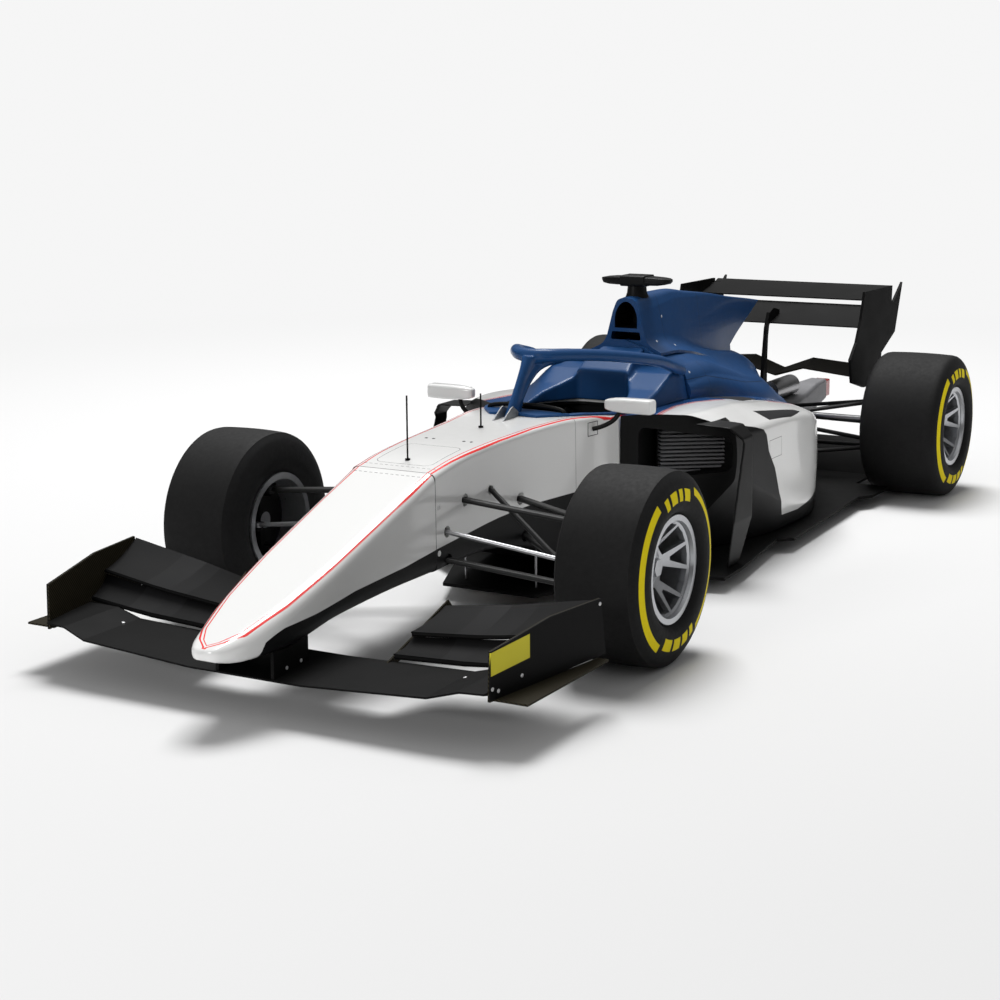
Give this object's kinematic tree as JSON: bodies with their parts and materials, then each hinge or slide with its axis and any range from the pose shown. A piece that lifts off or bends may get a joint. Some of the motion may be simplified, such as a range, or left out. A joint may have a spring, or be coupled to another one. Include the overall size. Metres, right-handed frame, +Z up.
{
  "type": "open wheel racing car",
  "caption": "Open wheel single-seat racing car with front and rear wings, a halo, slick tyres, steered front wheels and an opening rear wing flap.",
  "frame": {"origin": "on the ground, at the middle of the car's length and width", "axes": "+Z up, the nose points along -Y, +X is the car's left"},
  "size_m": [1.9, 5.224, 1.1159],
  "materials": {
    "white_paint": "gloss",
    "blue_paint": "gloss",
    "carbon": "satin",
    "carbon_gloss": "gloss",
    "rim_alloy": "satin",
    "tyre_rubber": "matt",
    "bracket_alloy": "satin",
    "casting": "matt",
    "steel": "satin",
    "light_red": "gloss",
    "core_alloy": "matt",
    "plank_wood": "matt"
  },
  "bodies": {
    "car": {"floor": "carbon", "floor_stays": "steel", "skid_block": "plank_wood", "nose_cone": "white_paint", "monocoque": "white_paint", "front_wishbones_left": "carbon", "front_wishbones_right": "carbon", "engine_block": "casting", "gearbox": "casting", "rain_light": "light_red", "engine_cover": "blue_paint", "camera_pod": "carbon", "sidepod_left": "white_paint", "sidepod_right": "white_paint", "radiators": "core_alloy", "halo": "blue_paint", "halo_bracket": "bracket_alloy", "cockpit_surround": "blue_paint", "cockpit_seat": "carbon_gloss", "dash_panel": "carbon", "mirrors": "white_paint", "antennas": "carbon", "front_wing": "carbon", "front_flaps": "carbon", "front_endplates": "carbon", "side_vanes": "carbon", "rear_wing": "carbon", "beam_wing": "carbon", "rear_wing_endplates": "carbon", "rear_wing_pylon": "carbon", "rear_uprights": "carbon", "rear_suspension": "carbon", "diffuser": "carbon", "tailpipe": "steel"},
    "upright_left": {"upright_front_left": "carbon"},
    "upright_right": {"upright_front_right": "carbon"},
    "wheel_front_left": {"rim_front_left": "rim_alloy", "tyre_front_left": "tyre_rubber"},
    "wheel_front_right": {"rim_front_right": "rim_alloy", "tyre_front_right": "tyre_rubber"},
    "wheel_rear_left": {"rim_rear_left": "rim_alloy", "tyre_rear_left": "tyre_rubber", "driveshaft_left": "steel"},
    "wheel_rear_right": {"rim_rear_right": "rim_alloy", "tyre_rear_right": "tyre_rubber", "driveshaft_right": "steel"},
    "rack": {"steering_rack": "steel"},
    "steering_wheel": {"steering_wheel": "carbon"},
    "drs_flap": {"drs_flap": "carbon"}
  },
  "joints": [
    {"name": "steer_left", "type": "hinge", "parent": "car", "child": "upright_left", "pos_m": [0.68, -1.322, 0.33], "axis": [0, 0, 1], "range_deg": [-16, 16]},
    {"name": "steer_right", "type": "hinge", "parent": "car", "child": "upright_right", "pos_m": [-0.68, -1.322, 0.33], "axis": [0, 0, 1], "range_deg": [-16, 16]},
    {"name": "rack_slide", "type": "slide", "parent": "car", "child": "rack", "axis": [1, 0, 0], "range_m": [-0.0325, 0.0325]},
    {"name": "steering_wheel_turn", "type": "hinge", "parent": "car", "child": "steering_wheel", "pos_m": [0, -0.587, 0.6], "axis": [0, 0.995, 0.0995], "range_deg": [-160, 160]},
    {"name": "spin_front_left", "type": "hinge", "parent": "upright_left", "child": "wheel_front_left", "pos_m": [0.79, -1.322, 0.33], "axis": [1, 0, 0], "continuous": true},
    {"name": "spin_front_right", "type": "hinge", "parent": "upright_right", "child": "wheel_front_right", "pos_m": [-0.79, -1.322, 0.33], "axis": [1, 0, 0], "continuous": true},
    {"name": "spin_rear_left", "type": "hinge", "parent": "car", "child": "wheel_rear_left", "pos_m": [0.7575, 1.813, 0.33], "axis": [1, 0, 0], "continuous": true},
    {"name": "spin_rear_right", "type": "hinge", "parent": "car", "child": "wheel_rear_right", "pos_m": [-0.7575, 1.813, 0.33], "axis": [1, 0, 0], "continuous": true},
    {"name": "drs_flap_open", "type": "hinge", "parent": "car", "child": "drs_flap", "pos_m": [0, 2.237, 0.905], "axis": [-1, 0, 0], "range_deg": [0, 13]}
  ],
  "couplings": [
    {"joint": "steer_right", "follows": "steer_left", "ratio": 1},
    {"joint": "rack_slide", "follows": "steer_left", "m_per_rad": 0.115},
    {"joint": "steering_wheel_turn", "follows": "steer_left", "ratio": 10}
  ]
}
